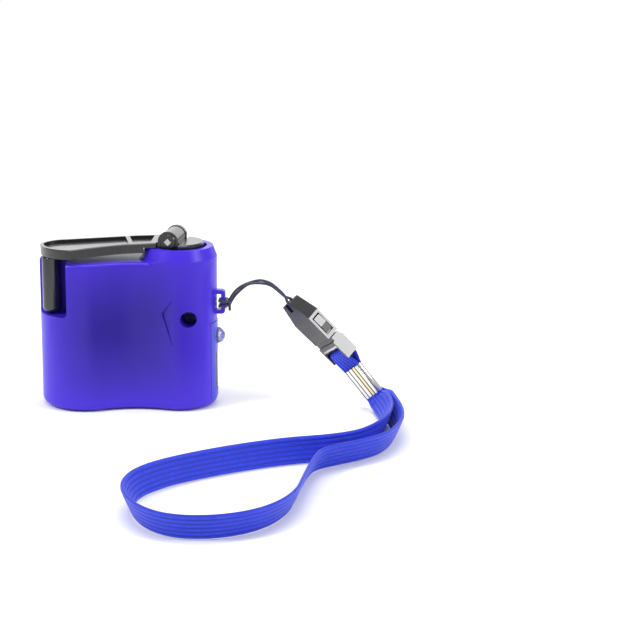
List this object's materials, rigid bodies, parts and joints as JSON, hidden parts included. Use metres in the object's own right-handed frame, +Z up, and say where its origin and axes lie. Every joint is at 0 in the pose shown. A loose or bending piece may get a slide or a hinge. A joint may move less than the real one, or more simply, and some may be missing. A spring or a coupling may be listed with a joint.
{
  "type": "hand crank phone charger",
  "caption": "Pocket hand crank generator with a folding crank, USB socket, small lamp and a wrist lanyard, blue-violet plastic case.",
  "frame": {"origin": "middle of the case's flat base", "axes": "+Z up, +X towards the hub of the crank and the end with the socket, -Y the front"},
  "size_m": [0.119, 0.1451, 0.0586],
  "materials": {
    "case_plastic": "frosted gloss",
    "panel_plastic": "gloss",
    "crank_plastic": "satin",
    "dark_steel": "blackened",
    "steel": "bright",
    "gear_nylon": "moulded",
    "plate_nylon": "moulded",
    "brass_metal": "bright",
    "copper_winding": "satin",
    "core_steel": "laminated",
    "magnet": "matte",
    "board_green": "solder mask",
    "chip_black": "moulded",
    "clear_lens": "clear",
    "tinned_wire": "bright",
    "wire_rubber": "matte",
    "cord_yarn": "braided",
    "buckle_plastic": "gloss",
    "strap_fabric": "woven",
    "ferrule_metal": "crimped"
  },
  "bodies": {
    "housing": {"front_shell": "case_plastic", "rear_shell": "case_plastic", "case_screw": "dark_steel", "port_panel": "panel_plastic", "led_lamp": "clear_lens", "led_leads": "tinned_wire", "usb_shell": "steel", "usb_tongue": "plate_nylon", "usb_contacts": "brass_metal", "circuit_board": "board_green", "board_screws": "steel", "capacitor": "chip_black", "inductor": "copper_winding", "diodes": "chip_black", "regulator_chip": "chip_black", "deck_bushing": "plate_nylon", "gear_plate_lower": "plate_nylon", "gear_plate_upper": "plate_nylon", "plate_posts": "steel", "plate_screws": "steel", "first_axle": "steel", "second_axle": "steel", "generator_can": "steel", "generator_magnets": "magnet", "generator_brushes": "brass_metal", "generator_cap": "plate_nylon", "generator_terminals": "brass_metal", "generator_wires": "wire_rubber", "lanyard_hitch": "cord_yarn", "lanyard_cord": "cord_yarn", "buckle_socket": "buckle_plastic", "buckle_plug": "buckle_plastic", "strap_fold": "strap_fabric", "strap_ferrule": "ferrule_metal", "wrist_strap": "strap_fabric"},
    "crank": {"crank_hub": "crank_plastic", "crank_shaft": "steel", "drive_gear": "gear_nylon", "shaft_clip": "steel"},
    "arm": {"crank_arm": "crank_plastic", "hinge_pin": "steel", "pin_cap": "crank_plastic", "knob_pin": "steel"},
    "knob": {"crank_knob": "crank_plastic"},
    "first_gear_body": {"first_gear": "gear_nylon"},
    "second_gear_body": {"second_gear": "gear_nylon"},
    "rotor": {"rotor_shaft": "steel", "rotor_armature": "core_steel", "commutator": "copper_winding", "rotor_pinion": "brass_metal"}
  },
  "joints": [
    {"name": "crank_spin", "type": "hinge", "parent": "housing", "child": "crank", "pos_m": [0.01675, 0, 0.05], "axis": [0, 0, 1], "range_deg": [0, 145]},
    {"name": "arm_fold", "type": "hinge", "parent": "crank", "child": "arm", "pos_m": [0.0146, 0, 0.0552], "axis": [0.1253, 0.9921, 0], "range_deg": [0, 180]},
    {"name": "knob_spin", "type": "hinge", "parent": "arm", "child": "knob", "pos_m": [-0.02415, -0.0062, 0.04], "axis": [0, 0, 1], "continuous": true},
    {"name": "first_gear_spin", "type": "hinge", "parent": "housing", "child": "first_gear_body", "pos_m": [0.00475, 0, 0.04], "axis": [0, 0, 1], "continuous": true},
    {"name": "second_gear_spin", "type": "hinge", "parent": "housing", "child": "second_gear_body", "pos_m": [-0.0055, 0, 0.04], "axis": [0, 0, 1], "continuous": true},
    {"name": "rotor_spin", "type": "hinge", "parent": "housing", "child": "rotor", "pos_m": [-0.014, 0, 0.02], "axis": [0, 0, 1], "continuous": true}
  ],
  "couplings": [
    {"joint": "first_gear_spin", "follows": "crank_spin", "ratio": -3.8},
    {"joint": "second_gear_spin", "follows": "crank_spin", "ratio": 10.364},
    {"joint": "rotor_spin", "follows": "crank_spin", "ratio": -24.873}
  ]
}
